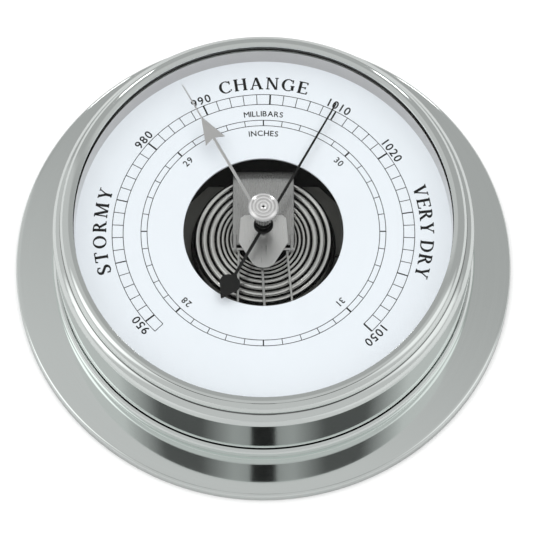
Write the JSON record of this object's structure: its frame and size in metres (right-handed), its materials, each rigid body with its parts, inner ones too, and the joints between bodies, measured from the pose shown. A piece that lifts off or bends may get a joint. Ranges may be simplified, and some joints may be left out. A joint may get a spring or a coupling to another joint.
{
  "type": "aneroid barometer",
  "caption": "Round flanged aneroid barometer with glazed bezel, open-centre dial, black pointer, silver set hand on a knurled knob and a capsule movement.",
  "frame": {"origin": "centre of the base underside, where the flange meets the wall or the table", "axes": "+Z out of the dial along the pointer's axis, +Y towards 12 o'clock on the dial, +X towards 3 o'clock"},
  "size_m": [0.165, 0.165, 0.0497],
  "materials": {
    "case_metal": "polished bright metal, mirror-like, with a faint green-grey cast",
    "view_ring_metal": "polished inner ring, soft sheen",
    "glass": "clear flat mineral glass",
    "gasket_rubber": "matt black",
    "dial_white": "cool white satin enamel with black printed scales",
    "hand_black": "satin black",
    "hand_silver": "satin silver",
    "knob_metal": "turned and polished, knurled neck",
    "movement_black": "matt dark grey paint",
    "movement_steel": "fine brushed sheet steel",
    "capsule_nickel": "bright pressed nickel alloy",
    "brass": "turned brass",
    "screw_steel": "plain steel"
  },
  "bodies": {
    "case": {"base_flange": "case_metal", "foot_bead": "case_metal", "case_drum": "case_metal", "bezel_ring": "case_metal", "glass": "glass", "glass_gasket": "gasket_rubber", "glass_bush": "hand_black", "dial_ring": "view_ring_metal", "dial": "dial_white", "dial_carrier": "movement_black", "carrier_post_1": "brass", "carrier_post_2": "brass", "carrier_post_3": "brass", "rear_cover": "movement_black", "cover_screw_1": "screw_steel", "cover_screw_2": "screw_steel", "cover_screw_3": "screw_steel", "cover_screw_4": "screw_steel", "movement_plate": "movement_black", "movement_pillar_1": "brass", "movement_pillar_2": "brass", "movement_pillar_3": "brass", "movement_pillar_4": "brass", "movement_screw_1": "screw_steel", "movement_screw_2": "screw_steel", "movement_screw_3": "screw_steel", "movement_screw_4": "screw_steel", "bridge_frame": "movement_steel", "bridge_hook_left": "movement_steel", "bridge_hook_right": "movement_steel", "arbor_plate": "movement_steel", "arbor_plate_post_left": "brass", "arbor_plate_post_right": "brass", "capsule_upper": "capsule_nickel", "capsule_lower": "capsule_nickel", "capsule_foot": "brass", "trunnion_left": "brass", "trunnion_right": "brass", "hairspring": "movement_steel", "hairspring_post": "brass"},
    "set_hand": {"set_hand": "hand_silver", "set_shaft": "brass", "set_knob": "knob_metal"},
    "pointer": {"pointer": "hand_black", "pointer_hub": "hand_black", "pointer_arbor": "movement_steel"},
    "capsule_boss": {"capsule_boss": "brass"},
    "lever": {"lever_axle": "movement_steel", "lever_plate": "movement_steel", "lever_wire_left": "movement_steel", "lever_wire_right": "movement_steel", "lever_end_bar": "movement_steel"},
    "link": {"connecting_link": "movement_steel"},
    "rocking_shaft": {"rocking_shaft": "movement_steel", "crank_arm": "brass", "chain_arm": "brass"},
    "chain": {"chain": "movement_steel"},
    "calibration_screw": {"calibration_screw": "screw_steel"}
  },
  "joints": [
    {"name": "pointer_turn", "type": "hinge", "parent": "case", "child": "pointer", "pos_m": [0, 0, 0.0329], "axis": [0, 0, -1], "range_deg": [-163.5, 106.5]},
    {"name": "set_hand_turn", "type": "hinge", "parent": "case", "child": "set_hand", "pos_m": [0, 0, 0.0366], "axis": [0, 0, 1], "continuous": true},
    {"name": "capsule_boss_travel", "type": "slide", "parent": "case", "child": "capsule_boss", "axis": [0, 0, 1], "range_m": [-0.00006, 0.0000922]},
    {"name": "lever_rock", "type": "hinge", "parent": "case", "child": "lever", "pos_m": [0, -0.0044, 0.0246], "axis": [1, 0, 0], "range_deg": [-0.78, 1.2]},
    {"name": "link_travel", "type": "slide", "parent": "case", "child": "link", "axis": [0, 0, 1], "range_m": [-0.00068, 0.00044]},
    {"name": "rocking_shaft_turn", "type": "hinge", "parent": "case", "child": "rocking_shaft", "pos_m": [0, -0.033, 0.00945], "axis": [1, 0, 0], "range_deg": [-6.37, 9.78]},
    {"name": "chain_travel", "type": "slide", "parent": "case", "child": "chain", "axis": [-0.0523, 0.9986, 0], "range_m": [-0.00277, 0.0018]},
    {"name": "calibration_screw_turn", "type": "hinge", "parent": "case", "child": "calibration_screw", "pos_m": [0, 0, 0.0044], "axis": [0, 0, 1], "range_deg": [-180, 180]}
  ],
  "couplings": [
    {"joint": "capsule_boss_travel", "follows": "pointer_turn", "m_per_rad": -0.000031659},
    {"joint": "lever_rock", "follows": "pointer_turn", "ratio": -0.0071953},
    {"joint": "link_travel", "follows": "pointer_turn", "m_per_rad": 0.00023457},
    {"joint": "rocking_shaft_turn", "follows": "pointer_turn", "ratio": -0.058642},
    {"joint": "chain_travel", "follows": "pointer_turn", "m_per_rad": 0.00095}
  ]
}
